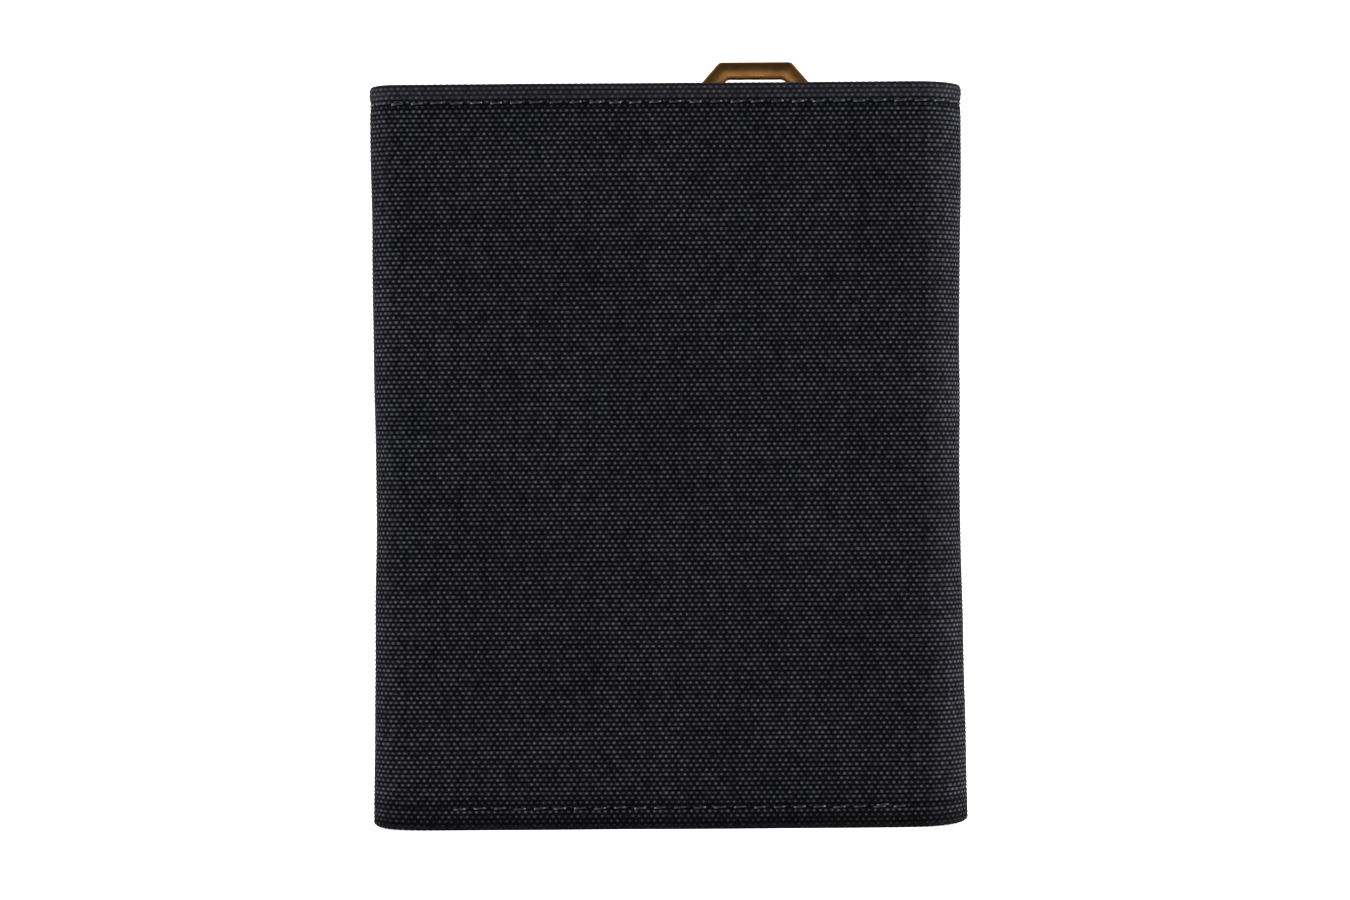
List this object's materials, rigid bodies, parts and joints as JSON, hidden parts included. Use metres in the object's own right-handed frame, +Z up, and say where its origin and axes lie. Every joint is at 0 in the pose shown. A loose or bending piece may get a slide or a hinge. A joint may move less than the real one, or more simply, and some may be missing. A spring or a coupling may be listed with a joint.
{
  "type": "passport holder wallet",
  "caption": "Tri-fold canvas passport wallet with a passport pocket, card slots, zipped coin pocket, press stud and a metal ring on a webbing tab.",
  "frame": {"origin": "middle of the closed wallet's bottom edge, on the surface it stands on", "axes": "+Z up, from the bottom edge to the ring; +Y from the back to the outer flap; +X towards the outer fold"},
  "size_m": [0.112, 0.021, 0.1449],
  "materials": {
    "canvas": "coarse black plain-weave canvas",
    "lining": "fine black nylon lining with a slight sheen",
    "board": "flexible stiffening board",
    "binding_tape": "ribbed black grosgrain binding",
    "webbing": "black woven webbing",
    "zip_tape": "black knitted zip tape",
    "zip_coil": "black nylon coil",
    "gunmetal": "dark gunmetal plating",
    "antique_brass": "antique brass, darker on the flats and bright on the edges"
  },
  "bodies": {
    "back": {"back_canvas": "canvas", "back_stiffener": "board", "back_lining": "lining", "passport_pocket": "lining", "passport_pocket_binding": "binding_tape", "ring_tab": "webbing"},
    "outer_spine": {"outer_spine_canvas": "canvas", "outer_spine_lining": "lining"},
    "outer_flap": {"outer_flap_canvas": "canvas", "outer_flap_stiffener": "board", "outer_flap_lining": "lining", "card_slot_1": "lining", "card_slot_2": "lining", "card_slot_3": "lining", "coin_pocket_bag": "lining", "zip_tape_upper": "zip_tape", "zip_tape_lower": "zip_tape", "zip_coil_upper": "zip_coil", "zip_coil_lower": "zip_coil", "zip_stop_left": "gunmetal", "zip_stop_right": "gunmetal", "stud_cap": "gunmetal", "stud_socket": "gunmetal"},
    "inner_spine": {"inner_spine_canvas": "canvas", "inner_spine_lining": "lining"},
    "inner_flap": {"inner_flap_canvas": "canvas", "inner_flap_stiffener": "board", "inner_flap_lining": "lining", "stud_post": "gunmetal"},
    "zip_slider": {"zip_slider": "gunmetal"},
    "zip_pull": {"zip_pull": "gunmetal"},
    "carry_ring": {"carry_ring": "antique_brass"}
  },
  "joints": [
    {"name": "outer_fold", "type": "hinge", "parent": "back", "child": "outer_spine", "pos_m": [0.05351, -0.00801, 0.07], "axis": [0, 0, -1], "range_deg": [0, 90]},
    {"name": "outer_flap_fold", "type": "hinge", "parent": "outer_spine", "child": "outer_flap", "pos_m": [0.05351, 0.00501, 0.07], "axis": [0, 0, -1], "range_deg": [0, 90]},
    {"name": "inner_fold", "type": "hinge", "parent": "back", "child": "inner_spine", "pos_m": [-0.05439, -0.00889, 0.07], "axis": [0, 0, 1], "range_deg": [0, 90]},
    {"name": "inner_flap_fold", "type": "hinge", "parent": "inner_spine", "child": "inner_flap", "pos_m": [-0.05439, -0.00021, 0.07], "axis": [0, 0, 1], "range_deg": [0, 90]},
    {"name": "zip_run", "type": "slide", "parent": "outer_flap", "child": "zip_slider", "axis": [1, 0, 0], "range_m": [0, 0.07]},
    {"name": "pull_swing", "type": "hinge", "parent": "zip_slider", "child": "zip_pull", "pos_m": [-0.036, 0.0093, 0.112], "axis": [0, 0, 1], "range_deg": [0, 175]},
    {"name": "ring_swing", "type": "hinge", "parent": "back", "child": "carry_ring", "pos_m": [0.0172, 0.0005, 0.13], "axis": [1, 0, 0], "range_deg": [-10, 25]}
  ],
  "couplings": [
    {"joint": "outer_flap_fold", "follows": "outer_fold", "ratio": 1},
    {"joint": "inner_fold", "follows": "outer_fold", "ratio": 1},
    {"joint": "inner_flap_fold", "follows": "outer_fold", "ratio": 1}
  ]
}
